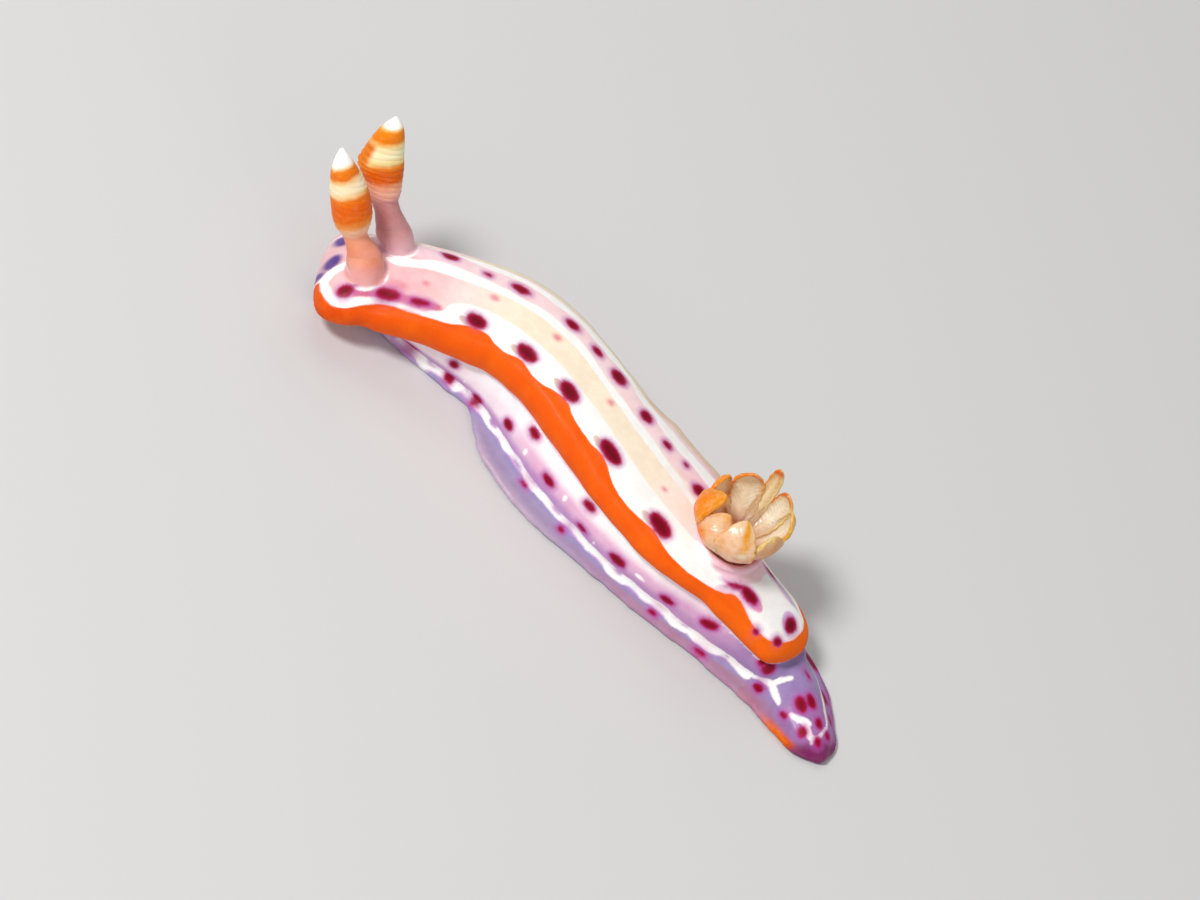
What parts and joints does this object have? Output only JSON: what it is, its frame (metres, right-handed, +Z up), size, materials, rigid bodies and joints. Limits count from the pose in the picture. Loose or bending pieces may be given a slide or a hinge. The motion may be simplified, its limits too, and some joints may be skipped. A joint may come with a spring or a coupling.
{
  "type": "hypselodoris yarae sea slug model",
  "caption": "Still life-size sea slug model, crawling pose: long mantle over a flat sole, pointed tail, clubbed rhinophores on the head and a ring of gill leaves near the rear.",
  "frame": {"origin": "centre of the bounding box on the sole's plane, z = 0", "axes": "+X runs from the head to the tail tip, +Z is up, -Y is the slug's left side"},
  "size_m": [0.03, 0.0084, 0.0079],
  "materials": {
    "mantle_flesh": "wet gloss, white and cream with an orange margin band and purple spots",
    "side_flesh": "wet gloss, lavender with purple spots",
    "foot_flesh": "wet gloss, translucent lavender with a white upper line",
    "tail_flesh": "wet gloss, lavender with magenta spots and a white forked line",
    "head_flesh": "wet gloss, pink",
    "rhinophore_flesh": "wet gloss, orange with white rings and tip",
    "gill_flesh": "wet gloss, translucent cream with orange edges",
    "gill_pocket_flesh": "wet gloss, pink"
  },
  "bodies": {
    "root": {"mantle_front": "mantle_flesh", "mantle_shoulder": "mantle_flesh", "mantle_middle": "mantle_flesh", "mantle_rear": "mantle_flesh", "side_front": "side_flesh", "foot_front": "foot_flesh", "side_middle": "side_flesh", "foot_middle": "foot_flesh", "side_rear": "side_flesh", "foot_rear": "foot_flesh", "tail": "tail_flesh", "head": "head_flesh", "rhinophore_left": "rhinophore_flesh", "rhinophore_right": "rhinophore_flesh", "oral_tentacle_left": "head_flesh", "oral_tentacle_right": "head_flesh", "gill_pocket": "gill_pocket_flesh", "gill_01": "gill_flesh", "gill_02": "gill_flesh", "gill_03": "gill_flesh", "gill_04": "gill_flesh", "gill_05": "gill_flesh", "gill_06": "gill_flesh", "gill_07": "gill_flesh", "gill_08": "gill_flesh", "gill_09": "gill_flesh"}
  },
  "joints": []
}
